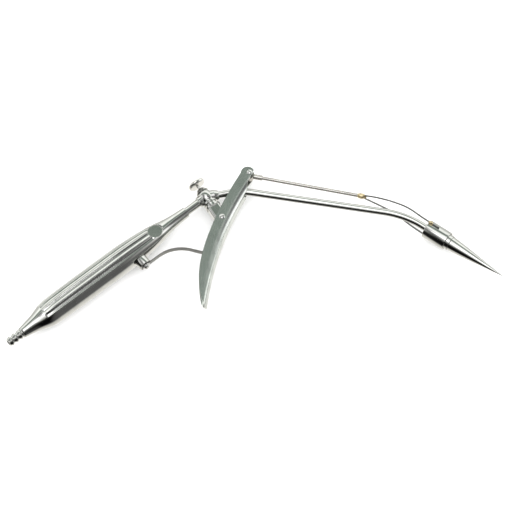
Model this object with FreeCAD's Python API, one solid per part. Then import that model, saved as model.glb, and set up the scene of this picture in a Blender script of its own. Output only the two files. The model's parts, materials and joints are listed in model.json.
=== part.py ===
import FreeCAD, Part
import math
import os

# A suction band ligator, lying on its side: a hollow fluted handle with a hose nozzle, a press
# valve, a cranked suction tube, and a drum with a pusher sleeve worked by a finger lever.
# Millimetres and degrees. The instrument is symmetric about the plane z = 0 while it is built,
# with the centre of the valve as the origin. The whole is set down on its lowest point at the end.
# Angles are headings in that plane, counted anticlockwise from +X. "Station" is a distance along
# the axis of the piece, and "side" is a distance to the left of that axis.

# Axes of the suction line
handleAngle = 39.6        # from the hose end up to the valve
handleReach = 177.2       # from the hose end to the valve's centre
neckAngle = 12.5          # out of the valve
neckReach = 24.16         # from the valve's centre to the corner of the first bend
neckBendRadius = 49.0
shaftAngle = -9.3
shaftReach = 118.0        # from the first corner to the second
tipBendRadius = 65.0
drumAngle = -35.2
valveAngle = -56.5        # from the thumb disc towards the lever's pivot

# Hose nozzle
barbCount = 3
barbPitch = 3.8
barbRise = 2.0
barbLand = 0.8
barbRootRadius = 2.95
barbCrestRadius = 3.5
nozzleCollarStart = 11.2
nozzleCollarRadius = 3.7
nozzleBoreRadius = 1.7
spigotRadius = 2.6
spigotEnd = 20.0

# Handle shell
shellStart = 12.0
plugStart = 15.0
plugEnd = 25.5
tubeRadius = 2.9
tubeBoreRadius = 2.2
tubeEnd = 173.6
shellOutline = [(12.0, 3.9), (17.7, 4.9), (20.8, 5.5), (25.5, 6.6), (29.7, 8.0), (34.4, 9.2),
                (41.6, 9.7), (62.5, 9.9), (83.0, 9.9), (104.1, 9.7), (114.5, 9.1),
                (124.9, 8.2), (133.2, 7.1), (140.5, 5.5), (147.8, 4.3), (158.8, 3.35)]
shellCavity = [(106.0, 8.0), (44.0, 8.0), (33.0, 7.5), (25.5, 5.5), (15.0, 3.4)]
shoulderCavity = [(141.0, 2.9), (134.0, 3.5), (122.0, 4.9), (114.0, 6.8)]
fluteCount = 5            # on each of the two broad faces
flutePitch = 24.0         # degrees around the handle
fluteRadius = 1.9
fluteDepth = 0.9
fluteFloorRadius = 9.9
fluteStart = 37.5
fluteEnd = 121.0
dishStation = 131.0
dishLength = 11.0
dishWidth = 9.8
dishFloor = 5.7           # height of the thumb dish's floor above the handle's axis
dishTilt = 7.0            # the floor leans with the shoulder

# Return spring and its clamp
bossStation = 111.0
bossRadius = 4.7
bossHeight = 14.2         # from the handle's axis to the end face
springThickness = 0.6
springWidth = 4.4
springTail = 3.4
springFlat = 11.5
springBend = 25.0
springEndAngle = -15.0
springReach = 18.2        # straight run after the bend
clampScrewRadius = 1.2
clampHeadRadius = 2.2
clampHeadHeight = 1.7
washerRadius = 2.9
washerThickness = 0.5
slotWidth = 0.7
slotDepth = 0.7

# Press valve, stations along valveAngle
bodyTop = -4.6
bodyFoot = 8.2
bodyRadius = 5.2
rearSocketRadius = 4.6
rearSocketReach = 6.8
frontSocketRadius = 4.4
frontSocketReach = 5.8
chamberTop = -2.6
chamberRadius = 3.05
glandThreadRadius = 3.6
glandTop = -7.4
glandNoseRadius = 2.7
glandShoulderRadius = 3.0
glandSkirtRadius = 4.8
packingTop = -5.6
packingFoot = -3.2
packingRadius = 2.1
portRadius = 1.4
stemRadius = 1.1
stemThreadRadius = 0.9
stemThreadLength = 2.5
stemClearance = 0.05
discTop = -13.1
discUnderside = -11.0
discRadius = 5.6
pistonTop = -1.5
pistonFoot = 1.7
pistonRadius = 3.0
sealGrooveStart = 1.0     # from the piston's top face
sealGrooveWidth = 1.0
sealGrooveRadius = 2.5
sealWireRadius = 0.26
coilWireRadius = 0.22
coilRadius = 2.3
coilPitch = 1.0
coilCorners = 12          # bends in each turn of the coil's path
springSeat = 6.0
coilGap = 0.05
ferruleEnd = 9.0
ferruleTipRadius = 3.3

# Lever pivot, lug and lever. The lever's own points are counted from its pivot.
pivotX = 11.41
pivotY = -17.91
lugFlangeRadius = 5.6
lugFlangeEnd = 9.5
lugHalfWidth = 4.7
lugHalfThickness = 4.0
lugRounding = 1.9
pivotPinRadius = 1.5
pivotClearance = 0.06
leverHalfWidth = 6.0
leverWall = 1.2
webRadius = 232.0         # the finger side follows a circle of this radius
webTop = (17.4, 18.1)
webFoot = (-10.1, -66.7)
webLead = 3.0             # degrees that the channel is swept past the web's foot
webTrail = 9.0            # and past its top
fingerSide = [(24.0, 18.1), (8.0, -70.0), (-9.6, -68.6)]      # outside the web, all the way down
bladeEdge = [(-10.6, -68.0), (-13.2, -65.6), (-15.1, -59.3), (-16.0, -50.9), (-15.8, -40.5),
             (-10.1, -15.4), (-0.8, 8.2), (8.7, 26.9), (13.0, 34.6)]
earCrown = [(13.0, 34.6), (16.9, 39.2), (22.2, 36.7)]
earFront = [(22.2, 36.7), (21.1, 33.2), (19.3, 30.8), (17.4, 25.7), (17.4, 18.1)]
shaftGateFoot = 16.8      # the web is open above this height, where the shaft passes
rodPinX = 19.3
rodPinY = 35.0
rodPinRadius = 1.4
rodPinSlack = 0.35        # free play of the rod's eye on its pin
pinHeadRise = 0.8
pinHeadOverhang = 0.6
slotLean = (0.8, 0.6, 0.4)   # the screws stopped with their slots across this direction

# Push rod and fork
rodAngle = -11.5
wireRootStart = 81.0      # the wires start inside the knuckle, a little off the rod's axis
wireRootSide = 0.4
wireRootHeight = 0.7
nearWireBends = [(119.0, -0.9, 2.4), (130.0, -4.9, 4.3), (141.8, -10.6, 5.9)]
farWireBends = [(121.0, -4.2, 2.8), (132.0, -9.0, 4.9), (142.6, -17.6, 6.5)]
wireLandStart = 14.0      # where the wires come down on the sleeve's line
rodRadius = 1.3
eyeRadius = 3.3
eyeHalfThickness = 2.2
eyeSocketRadius = 1.9
eyeSocketEnd = 9.0
rodStart = 5.0
rodEnd = 79.5
knuckleStart = 77.6
knuckleEnd = 84.0
knuckleRadius = 2.0
knuckleRimRadius = 1.4
knuckleTipRadius = 0.9
knuckleCrest = (79.2, 81.4)
wireRadius = 0.6
brazeGap = 0.06           # braze metal between each wire and the sleeve

# Drum end, stations from the corner of the second bend along drumAngle
sleeveStart = 18.5
sleeveEnd = 35.9
sleeveRadius = 6.7
sleeveBoreRadius = 5.8
drumStart = 20.5
drumEnd = 38.7
drumRadius = 5.5
drumBoreRadius = 4.6
drumBaseEnd = 24.5
shaftRadius = 2.55
shaftBoreRadius = 1.9
shaftStart = 4.6
shaftEnd = 24.0
coneSpigotStart = 33.5
coneSpigotRadius = 4.55
coneBase = 38.85
coneBaseRadius = 5.15
coneFlank = [(52.0, 3.85), (66.0, 2.2)]
coneTip = 83.2
coneTipRadius = 0.2
padStart = 17.6
padCrest = (18.8, 20.5)
padEnd = 23.0
padRadius = 1.25
wireEnd = 27.0
nearWireSide = 2.3        # the pair of wires is turned a little about the drum's axis
farWireSide = -1.8
edgeBreak = 0.3
setDownTolerance = 0.02

zUp = FreeCAD.Vector(0, 0, 1)
valveCentre = FreeCAD.Vector(0, 0, 0)


def heading(angle):
    turn = math.radians(angle)
    return FreeCAD.Vector(math.cos(turn), math.sin(turn), 0)


def ahead(start, angle, distance, side=0.0, height=0.0):
    # the point a distance along a heading, shifted to its left and upwards
    return start + heading(angle) * distance + heading(angle + 90) * side + zUp * height


hoseEnd = ahead(valveCentre, handleAngle, -handleReach)
neckCorner = ahead(valveCentre, neckAngle, neckReach)
tipCorner = ahead(neckCorner, shaftAngle, shaftReach)
pivot = FreeCAD.Vector(pivotX, pivotY, 0)
rodPin = pivot + FreeCAD.Vector(rodPinX, rodPinY, 0)
bossFoot = ahead(hoseEnd, handleAngle, bossStation)
bossAngle = handleAngle - 90


def placed(shape, start, angle):
    # from the bench, where the axis is +X, to its place
    moved = shape.copy()
    moved.rotate(valveCentre, zUp, angle)
    moved.translate(start)
    return moved


def spun(face, start, angle):
    return placed(face.revolve(valveCentre, FreeCAD.Vector(1, 0, 0), 360), start, angle)


def turned(outline, start, angle):
    # a lathe part from a closed outline of (station, radius)
    points = [FreeCAD.Vector(station, radius, 0) for station, radius in outline]
    return spun(Part.Face(Part.makePolygon(points + points[:1])), start, angle)


def rod(radius, begin, end, start, angle):
    return turned([(begin, 0), (begin, radius), (end, radius), (end, 0)], start, angle)


def pipe(radius, bore, begin, end, start, angle):
    return turned([(begin, bore), (begin, radius), (end, radius), (end, bore)], start, angle)


def upright(radius, centre, low, high):
    # a cylinder square to the plane of symmetry
    return Part.makeCylinder(radius, high - low, centre + zUp * low)


def smoothEdge(points):
    curve = Part.BSplineCurve()
    curve.interpolate([FreeCAD.Vector(x, y, 0) for x, y in points])
    return curve.toShape()


def straightEdges(points):
    corners = [FreeCAD.Vector(x, y, 0) for x, y in points]
    return [Part.makeLine(a, b) for a, b in zip(corners, corners[1:])]


def roundedPath(points, radii=None):
    # straight runs joined by tangent arcs, as large as the runs allow where no radius is given
    edges = []
    last = points[0]
    for number in range(1, len(points) - 1):
        before, corner, after = points[number - 1: number + 2]
        backward = (before - corner).normalize()
        forward = (after - corner).normalize()
        halfTurn = (math.pi - backward.getAngle(forward)) / 2
        reach = 0.45 * min((before - corner).Length, (after - corner).Length)
        if radii:
            reach = radii[number - 1] * math.tan(halfTurn)
        radius = reach / math.tan(halfTurn)
        bisector = (backward + forward).normalize()
        middle = corner + bisector * (radius / math.cos(halfTurn) - radius)
        arcStart = corner + backward * reach
        arcEnd = corner + forward * reach
        edges.append(Part.makeLine(last, arcStart))
        edges.append(Part.Arc(arcStart, middle, arcEnd).toShape())
        last = arcEnd
    edges.append(Part.makeLine(last, points[-1]))
    return Part.Wire(edges)


def swept(path, radius):
    # a round bar along a path
    begin = path.Edges[0].firstVertex().Point
    direction = path.Edges[0].tangentAt(path.Edges[0].FirstParameter)
    ring = Part.Wire([Part.makeCircle(radius, begin, direction)])
    return path.makePipeShell([ring], True, True)


def slottedHead(radius, height, base, direction):
    # a low domed screw head with a driver slot, standing on base
    domeRadius = (radius ** 2 + height ** 2) / (2 * height)
    ball = Part.makeSphere(domeRadius, base + direction * (height - domeRadius))
    head = Part.makeCylinder(radius, height, base, direction).common(ball)
    across = direction.cross(FreeCAD.Vector(*slotLean)).normalize()
    along = direction.cross(across)
    top = base + direction * height
    corner = top - along * (slotWidth / 2) - across * (2 * radius) - direction * slotDepth
    blade = Part.makePolygon([corner, corner + along * slotWidth,
                              corner + along * slotWidth + direction * (2 * slotDepth),
                              corner + direction * (2 * slotDepth), corner])
    return head.cut(Part.Face(blade).extrude(across * (4 * radius)))


def makeNozzle():
    outline = [(0, nozzleBoreRadius), (0, barbRootRadius)]
    for barb in range(barbCount):
        start = barb * barbPitch
        crest = start + barbRise
        outline += [(start + edgeBreak, barbRootRadius), (crest, barbCrestRadius),
                    (crest + barbLand, barbCrestRadius), (crest + barbLand, barbRootRadius)]
    outline += [(nozzleCollarStart, barbRootRadius), (nozzleCollarStart, nozzleCollarRadius),
                (shellStart, nozzleCollarRadius), (shellStart, spigotRadius),
                (spigotEnd, spigotRadius), (spigotEnd, nozzleBoreRadius)]
    return turned(outline, hoseEnd, handleAngle)


def handleFace(inner):
    # half section of the handle: the outside is one smooth line, the inside is given
    first, last = shellOutline[0], shellOutline[-1]
    return Part.Face(Part.Wire([smoothEdge(shellOutline)] + straightEdges([last] + inner + [first])))


def makeShell():
    inner = [(shellOutline[-1][0], tubeRadius)] + shoulderCavity + shellCavity
    inner += [(plugStart, spigotRadius), (shellStart, spigotRadius)]
    shell = spun(handleFace(inner), hoseEnd, handleAngle)
    return shell.cut(fluteCutters()).cut(dishCutter())


def fluteCutters():
    # round-ended milling passes along the two broad faces
    cutters = []
    middle = (fluteCount - 1) / 2
    centreRadius = fluteFloorRadius - fluteDepth + fluteRadius
    tool = rod(fluteRadius, fluteStart, fluteEnd, valveCentre, 0)
    for station in (fluteStart, fluteEnd):
        tool = tool.fuse(Part.makeSphere(fluteRadius, FreeCAD.Vector(station, 0, 0)))
    tool.translate(zUp * centreRadius)
    for face in (0, 180):
        for number in range(fluteCount):
            cutter = tool.copy()
            cutter.rotate(valveCentre, FreeCAD.Vector(1, 0, 0), face + (number - middle) * flutePitch)
            cutters.append(placed(cutter, hoseEnd, handleAngle))
    return cutters


def dishCutter():
    # an oval plunge with a flat floor that leans with the shoulder
    oval = Part.Ellipse(valveCentre, dishLength / 2, dishWidth / 2).toShape()
    cutter = Part.Face(Part.Wire([oval])).extrude(zUp * fluteFloorRadius)
    cutter.rotate(valveCentre, FreeCAD.Vector(0, 1, 0), dishTilt)
    cutter.translate(FreeCAD.Vector(dishStation, 0, dishFloor))
    return placed(cutter, hoseEnd, handleAngle)


def makeTailPlug():
    outline = [(plugStart, spigotRadius), shellCavity[-1], shellCavity[-2], (plugEnd, tubeRadius),
               (spigotEnd, tubeRadius), (spigotEnd, spigotRadius)]
    return turned(outline, hoseEnd, handleAngle)


def makeBoss():
    envelope = spun(handleFace([(shellOutline[-1][0], 0), (shellStart, 0)]), hoseEnd, handleAngle)
    post = turned([(0, 0), (0, bossRadius), (bossHeight - edgeBreak, bossRadius),
                   (bossHeight, bossRadius - edgeBreak), (bossHeight, 0)], bossFoot, bossAngle)
    hole = rod(clampScrewRadius, 0, bossHeight, bossFoot, bossAngle)
    return post.cut(envelope).cut(hole)


def makeReturnSpring():
    half = springThickness / 2
    turn = handleAngle - springEndAngle
    middleLine = ahead(bossFoot, bossAngle, bossHeight + half)
    start = ahead(middleLine, handleAngle, -springTail)
    bendStart = ahead(middleLine, handleAngle, springFlat)
    centre = ahead(bendStart, handleAngle, 0, -springBend)
    bendEnd = ahead(centre, springEndAngle, 0, springBend)
    finish = ahead(bendEnd, springEndAngle, springReach)

    def edgeOf(side):
        middle = ahead(centre, handleAngle - turn / 2, 0, springBend + side)
        entry = ahead(bendStart, handleAngle, 0, side)
        leave = ahead(bendEnd, springEndAngle, 0, side)
        return [Part.makeLine(ahead(start, handleAngle, 0, side), entry),
                Part.Arc(entry, middle, leave).toShape(),
                Part.makeLine(leave, ahead(finish, springEndAngle, 0, side))]

    upper, lower = edgeOf(half), edgeOf(-half)
    ends = [Part.makeLine(ahead(start, handleAngle, 0, -half), ahead(start, handleAngle, 0, half)),
            Part.makeLine(ahead(finish, springEndAngle, 0, -half),
                          ahead(finish, springEndAngle, 0, half))]
    outline = Part.Wire(Part.__sortEdges__(upper + lower + ends))
    strip = Part.Face(outline).extrude(zUp * springWidth)
    strip.translate(zUp * (-springWidth / 2))
    hole = rod(clampScrewRadius, 0, bossHeight + springThickness * 2, bossFoot, bossAngle)
    return strip.cut(hole)


def makeSpringWasher():
    base = bossHeight + springThickness
    return pipe(washerRadius, clampScrewRadius, base, base + washerThickness, bossFoot, bossAngle)


def makeSpringScrew():
    base = bossHeight + springThickness + washerThickness
    shank = rod(clampScrewRadius, fluteFloorRadius, base, bossFoot, bossAngle)
    headBase = ahead(bossFoot, bossAngle, base)
    return shank.fuse(slottedHead(clampHeadRadius, clampHeadHeight, headBase, heading(bossAngle)))


def makeSuctionTube():
    return pipe(tubeRadius, tubeBoreRadius, spigotEnd, tubeEnd, hoseEnd, handleAngle)


def makeValveBody():
    barrel = turned([(bodyTop, 0), (bodyTop, bodyRadius - edgeBreak),
                     (bodyTop + edgeBreak, bodyRadius), (bodyFoot, bodyRadius), (bodyFoot, 0)],
                    valveCentre, valveAngle)
    rear = rod(rearSocketRadius, -rearSocketReach, 0, valveCentre, handleAngle)
    front = rod(frontSocketRadius, 0, frontSocketReach, valveCentre, neckAngle)
    body = barrel.fuse([rear, front])
    holes = [rod(chamberRadius, chamberTop, bodyFoot, valveCentre, valveAngle),
             rod(glandThreadRadius, bodyTop, chamberTop, valveCentre, valveAngle),
             rod(tubeRadius, -rearSocketReach, tubeEnd - handleReach, valveCentre, handleAngle),
             rod(portRadius, -rearSocketReach, 0, valveCentre, handleAngle),
             rod(shaftRadius, shaftStart, ferruleEnd, valveCentre, neckAngle),
             rod(portRadius, 0, frontSocketReach, valveCentre, neckAngle)]
    return body.cut(holes)


def makeGland():
    bore = stemRadius + stemClearance
    outline = [(glandTop, bore), (glandTop, glandNoseRadius),
               (glandTop + edgeBreak, glandShoulderRadius), (bodyTop, glandSkirtRadius),
               (bodyTop, glandThreadRadius), (chamberTop, glandThreadRadius),
               (chamberTop, packingRadius), (packingTop, packingRadius), (packingTop, bore)]
    return turned(outline, valveCentre, valveAngle)


def makeStemPacking():
    bore = stemRadius + stemClearance
    return pipe(packingRadius, bore, packingTop, packingFoot, valveCentre, valveAngle)


def makeButton():
    # a thumb disc with a full round rim, on its stem
    rimCentre = (discTop + discUnderside) / 2
    rimRadius = (discUnderside - discTop) / 2
    rimStart = FreeCAD.Vector(discTop, discRadius - rimRadius, 0)
    rimMiddle = FreeCAD.Vector(rimCentre, discRadius, 0)
    rimEnd = FreeCAD.Vector(discUnderside, discRadius - rimRadius, 0)
    edges = [Part.makeLine(FreeCAD.Vector(discTop, 0, 0), rimStart),
             Part.Arc(rimStart, rimMiddle, rimEnd).toShape()]
    edges += straightEdges([(discUnderside, discRadius - rimRadius), (discUnderside, stemRadius),
                            (pistonTop, stemRadius), (pistonTop, stemThreadRadius),
                            (pistonTop + stemThreadLength, stemThreadRadius),
                            (pistonTop + stemThreadLength, 0), (discTop, 0)])
    return spun(Part.Face(Part.Wire(edges)), valveCentre, valveAngle)


def makePiston():
    threadEnd = pistonTop + stemThreadLength
    grooveStart = pistonTop + sealGrooveStart
    grooveEnd = grooveStart + sealGrooveWidth
    outline = [(pistonTop, stemThreadRadius), (pistonTop, pistonRadius),
               (grooveStart, pistonRadius), (grooveStart, sealGrooveRadius),
               (grooveEnd, sealGrooveRadius), (grooveEnd, pistonRadius),
               (pistonFoot, pistonRadius), (pistonFoot, 0), (threadEnd, 0),
               (threadEnd, stemThreadRadius)]
    return turned(outline, valveCentre, valveAngle)


def makePistonSeal():
    grooveMiddle = FreeCAD.Vector(pistonTop + sealGrooveStart + sealGrooveWidth / 2, 0, 0)
    ring = Part.makeTorus(sealGrooveRadius + sealWireRadius, sealWireRadius, grooveMiddle,
                          FreeCAD.Vector(1, 0, 0))
    return placed(ring, valveCentre, valveAngle)


def makeValveSpring():
    low = pistonFoot + coilWireRadius + coilGap
    high = springSeat - coilWireRadius - coilGap
    bends = round((high - low) / coilPitch * coilCorners)
    points = []
    for bend in range(bends + 1):
        turn = 2 * math.pi * bend / coilCorners
        points.append(FreeCAD.Vector(low + (high - low) * bend / bends,
                                     coilRadius * math.cos(turn), coilRadius * math.sin(turn)))
    return placed(swept(roundedPath(points), coilWireRadius), valveCentre, valveAngle)


def makeLug():
    stub = rod(chamberRadius, springSeat, bodyFoot, valveCentre, valveAngle)
    flange = rod(lugFlangeRadius, bodyFoot, lugFlangeEnd, valveCentre, valveAngle)
    # the blade runs from inside the flange to the round eye, with its long edges rounded over
    bladeFoot = ahead(valveCentre, valveAngle, bodyFoot + edgeBreak)
    bladeAngle = math.degrees(math.atan2(pivot.y - bladeFoot.y, pivot.x - bladeFoot.x))
    reach = bladeFoot.distanceToPoint(pivot)
    sides = straightEdges([(reach, -lugHalfWidth), (0, -lugHalfWidth), (0, lugHalfWidth),
                           (reach, lugHalfWidth)])
    eye = Part.Arc(FreeCAD.Vector(reach, lugHalfWidth, 0),
                   FreeCAD.Vector(reach + lugHalfWidth, 0, 0),
                   FreeCAD.Vector(reach, -lugHalfWidth, 0)).toShape()
    blade = Part.Face(Part.Wire(sides + [eye])).extrude(zUp * (2 * lugHalfThickness))
    blade.translate(zUp * -lugHalfThickness)
    blade = blade.makeFillet(lugRounding, [edge for edge in blade.Edges if isLongEdge(edge)])
    bore = upright(pivotPinRadius + pivotClearance, pivot, -leverHalfWidth, leverHalfWidth)
    return stub.fuse([flange, placed(blade, bladeFoot, bladeAngle)]).cut(bore)


def isLongEdge(edge):
    # the outline's edges on the two broad faces, apart from those at the blade's foot
    middle = edge.valueAt((edge.FirstParameter + edge.LastParameter) / 2)
    return abs(middle.z) > lugHalfThickness - edgeBreak and middle.x > edgeBreak


def makeFerrule():
    outline = [(frontSocketReach, shaftRadius), (frontSocketReach, frontSocketRadius),
               (ferruleEnd, ferruleTipRadius), (ferruleEnd, shaftRadius)]
    return turned(outline, valveCentre, neckAngle).cut(makeValveBody())


def makeShaft():
    points = [ahead(valveCentre, neckAngle, shaftStart), neckCorner, tipCorner,
              ahead(tipCorner, drumAngle, shaftEnd)]
    path = roundedPath(points, [neckBendRadius, tipBendRadius])
    return swept(path, shaftRadius).cut(swept(path, shaftBoreRadius))


def channelSweep(halfWidth):
    # the lever's round-backed channel, swept about the centre of its finger side
    foot = pivot + FreeCAD.Vector(*webFoot, 0)
    top = pivot + FreeCAD.Vector(*webTop, 0)
    chord = top - foot
    sagRadius = math.sqrt(webRadius ** 2 - (chord.Length / 2) ** 2)
    centre = (foot + top) / 2 + FreeCAD.Vector(chord.y, -chord.x, 0).normalize() * sagRadius
    outward = (foot - centre).normalize()
    axle = centre + outward * (webRadius + leverHalfWidth)
    edgeOut = axle + outward * (4 * leverHalfWidth)
    back = axle - outward * halfWidth
    corners = [axle + zUp * halfWidth, edgeOut + zUp * halfWidth,
               edgeOut - zUp * halfWidth, axle - zUp * halfWidth]
    edges = [Part.makeLine(a, b) for a, b in zip(corners, corners[1:])]
    edges.append(Part.Arc(corners[3], back, corners[0]).toShape())
    section = Part.Face(Part.Wire(edges))
    sweep = math.degrees(2 * math.asin(chord.Length / 2 / webRadius)) + webLead + webTrail
    section.rotate(centre, zUp, webLead)
    return section.revolve(centre, -zUp, sweep)


def makeLever():
    outline = [smoothEdge(bladeEdge)]
    outline.append(Part.Arc(*[FreeCAD.Vector(x, y, 0) for x, y in earCrown]).toShape())
    outline += [straightEdges(earFront[:2])[0], smoothEdge(earFront[1:4])]
    outline += straightEdges(earFront[3:] + fingerSide + bladeEdge[:1])
    side = Part.Face(Part.Wire(outline)).extrude(zUp * (4 * leverHalfWidth))
    side.translate(pivot - zUp * (2 * leverHalfWidth))
    lever = side.common(channelSweep(leverHalfWidth)).cut(channelSweep(leverHalfWidth - leverWall))
    gateHalf = leverHalfWidth - 1.5 * leverWall
    gate = Part.makeBox(4 * leverHalfWidth, 4 * leverHalfWidth, 2 * gateHalf,
                        pivot + FreeCAD.Vector(webTop[0] / 2, shaftGateFoot, -gateHalf))
    holes = [upright(pivotPinRadius, pivot, -2 * leverHalfWidth, 2 * leverHalfWidth),
             upright(rodPinRadius, rodPin, -2 * leverHalfWidth, 2 * leverHalfWidth)]
    return lever.cut([gate] + holes)


def makePin(radius, centre):
    # a headed screw through both ears
    shank = upright(radius, centre, -leverHalfWidth, leverHalfWidth)
    head = slottedHead(radius + pinHeadOverhang, pinHeadRise, centre + zUp * leverHalfWidth, zUp)
    return shank.fuse(head)


def makeRodEye():
    eye = upright(eyeRadius, rodPin, -eyeHalfThickness, eyeHalfThickness)
    socket = rod(eyeSocketRadius, 0, eyeSocketEnd, rodPin, rodAngle)
    hole = upright(rodPinRadius + rodPinSlack, rodPin, -leverHalfWidth, leverHalfWidth)
    return eye.fuse(socket).cut([hole, rod(rodRadius, rodStart, eyeSocketEnd, rodPin, rodAngle)])


def makePushRod():
    return rod(rodRadius, rodStart, rodEnd, rodPin, rodAngle)


def wireSpread(side):
    # how far a wire lies from the plane of symmetry where it runs along the sleeve
    return math.sqrt((sleeveRadius + brazeGap + wireRadius) ** 2 - side ** 2)


def wireRoute(face, sleeveSide, bends):
    # from the knuckle, out around the shaft, then along the sleeve
    spread = wireSpread(sleeveSide)
    start = ahead(rodPin, rodAngle, wireRootStart, wireRootSide * face, wireRootHeight * face)
    points = [start] + [FreeCAD.Vector(x, y, z * face) for x, y, z in bends]
    for station in (wireLandStart, wireEnd):
        points.append(ahead(tipCorner, drumAngle, station, sleeveSide, spread * face))
    return roundedPath(points)


def makeNearWire():
    return swept(wireRoute(1, nearWireSide, nearWireBends), wireRadius)


def makeFarWire():
    return swept(wireRoute(-1, farWireSide, farWireBends), wireRadius)


def makeKnuckle():
    # braze metal run round the rod's end and the two wires
    outline = [(knuckleStart, 0), (knuckleStart, knuckleRimRadius),
               (knuckleCrest[0], knuckleRadius), (knuckleCrest[1], knuckleRadius),
               (knuckleEnd, knuckleTipRadius), (knuckleEnd, 0)]
    lump = turned(outline, rodPin, rodAngle)
    return lump.cut([makePushRod(), makeNearWire(), makeFarWire()])


def makeBrazePads():
    pads = []
    sleeve = rod(sleeveRadius, 0, coneTip, tipCorner, drumAngle)
    for face, side, wire in ((1, nearWireSide, makeNearWire()), (-1, farWireSide, makeFarWire())):
        centre = ahead(tipCorner, drumAngle, 0, side, wireSpread(side) * face)
        drop = turned([(padStart, 0), (padCrest[0], padRadius), (padCrest[1], padRadius),
                       (padEnd, 0)], centre, drumAngle)
        pads.append(drop.cut([sleeve, wire]))
    return Part.makeCompound([solid for pad in pads for solid in pad.Solids])


def makeSleeve():
    outline = [(sleeveStart, sleeveBoreRadius), (sleeveStart, sleeveRadius - edgeBreak),
               (sleeveStart + edgeBreak, sleeveRadius), (sleeveEnd - edgeBreak, sleeveRadius),
               (sleeveEnd, sleeveRadius - edgeBreak), (sleeveEnd, sleeveBoreRadius)]
    return turned(outline, tipCorner, drumAngle)


def makeDrum():
    outline = [(drumStart, drumBoreRadius), (drumStart, drumRadius),
               (drumEnd - edgeBreak, drumRadius), (drumEnd, drumRadius - edgeBreak),
               (drumEnd, drumBoreRadius)]
    return turned(outline, tipCorner, drumAngle)


def makeDrumBase():
    return pipe(drumBoreRadius, shaftRadius, drumStart, drumBaseEnd, tipCorner, drumAngle)


def makeCone():
    # the loading cone: a spigot in the drum's mouth, then a slightly full point
    spigot = [(coneSpigotStart, 0), (coneSpigotStart, coneSpigotRadius - edgeBreak),
              (coneSpigotStart + edgeBreak, coneSpigotRadius), (coneBase, coneSpigotRadius),
              (coneBase, coneBaseRadius)]
    flank = [(coneBase, coneBaseRadius)] + coneFlank + [(coneTip, coneTipRadius)]
    edges = straightEdges(spigot) + [smoothEdge(flank)]
    edges += straightEdges([flank[-1], (coneTip, 0), spigot[0]])
    return spun(Part.Face(Part.Wire(edges)), tipCorner, drumAngle)


def buildAll():
    return {
        "hose_nozzle": makeNozzle(),
        "handle_shell": makeShell(),
        "tail_plug": makeTailPlug(),
        "suction_tube": makeSuctionTube(),
        "spring_boss": makeBoss(),
        "return_spring": makeReturnSpring(),
        "spring_washer": makeSpringWasher(),
        "spring_screw": makeSpringScrew(),
        "valve_body": makeValveBody(),
        "valve_gland": makeGland(),
        "stem_packing": makeStemPacking(),
        "valve_button": makeButton(),
        "valve_piston": makePiston(),
        "piston_seal": makePistonSeal(),
        "valve_spring": makeValveSpring(),
        "pivot_lug": makeLug(),
        "shaft_ferrule": makeFerrule(),
        "shaft_tube": makeShaft(),
        "finger_lever": makeLever(),
        "pivot_screw": makePin(pivotPinRadius, pivot),
        "rod_screw": makePin(rodPinRadius, rodPin),
        "rod_eye": makeRodEye(),
        "push_rod": makePushRod(),
        "fork_knuckle": makeKnuckle(),
        "fork_wire_near": makeNearWire(),
        "fork_wire_far": makeFarWire(),
        "braze_pads": makeBrazePads(),
        "pusher_sleeve": makeSleeve(),
        "drum_barrel": makeDrum(),
        "drum_base": makeDrumBase(),
        "loading_cone": makeCone(),
    }


def setDown(shapes):
    # the origin goes to the middle of the box's underside
    box = FreeCAD.BoundBox()
    for shape in shapes.values():
        for point in shape.tessellate(setDownTolerance)[0]:
            box.add(point)
    shift = FreeCAD.Vector(-box.Center.x, -box.Center.y, -box.ZMin)
    for shape in shapes.values():
        shape.translate(shift)
    return shift


nodes = buildAll()
rowShift = setDown(nodes)
os.makedirs("parts", exist_ok=True)
for name, shape in nodes.items():
    shape.exportStep("parts/" + name + ".step")
    print(name, len(shape.Solids), "solids", round(shape.Volume, 1), "mm3")
print("shift", [round(value, 3) for value in rowShift])
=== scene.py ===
import json
import math

import bmesh
import bpy
import numpy as np
from mathutils import Matrix, Vector


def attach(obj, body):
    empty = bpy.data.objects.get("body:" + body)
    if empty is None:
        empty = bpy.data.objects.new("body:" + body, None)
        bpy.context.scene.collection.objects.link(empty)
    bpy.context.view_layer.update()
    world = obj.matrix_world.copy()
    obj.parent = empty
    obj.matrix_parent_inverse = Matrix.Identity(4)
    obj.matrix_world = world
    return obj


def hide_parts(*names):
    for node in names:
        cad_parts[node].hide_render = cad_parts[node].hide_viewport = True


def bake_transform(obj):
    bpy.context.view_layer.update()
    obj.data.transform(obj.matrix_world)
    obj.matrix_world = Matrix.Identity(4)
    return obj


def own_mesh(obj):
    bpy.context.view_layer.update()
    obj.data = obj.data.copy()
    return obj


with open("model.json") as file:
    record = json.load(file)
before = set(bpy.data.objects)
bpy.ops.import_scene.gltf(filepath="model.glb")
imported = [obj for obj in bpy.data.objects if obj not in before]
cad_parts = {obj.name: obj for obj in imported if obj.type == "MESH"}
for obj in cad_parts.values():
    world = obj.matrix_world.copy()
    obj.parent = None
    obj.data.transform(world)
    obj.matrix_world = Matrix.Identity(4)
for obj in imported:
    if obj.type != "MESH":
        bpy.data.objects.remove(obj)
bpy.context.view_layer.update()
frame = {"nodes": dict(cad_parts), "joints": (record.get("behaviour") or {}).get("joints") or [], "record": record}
nodes = frame["nodes"]
joints = {joint["name"]: joint for joint in frame["joints"]}
mounts = {mount["name"]: mount for mount in frame["record"]["mounts"]}
mm = 0.001
up = Vector((0, 0, 1))

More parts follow.
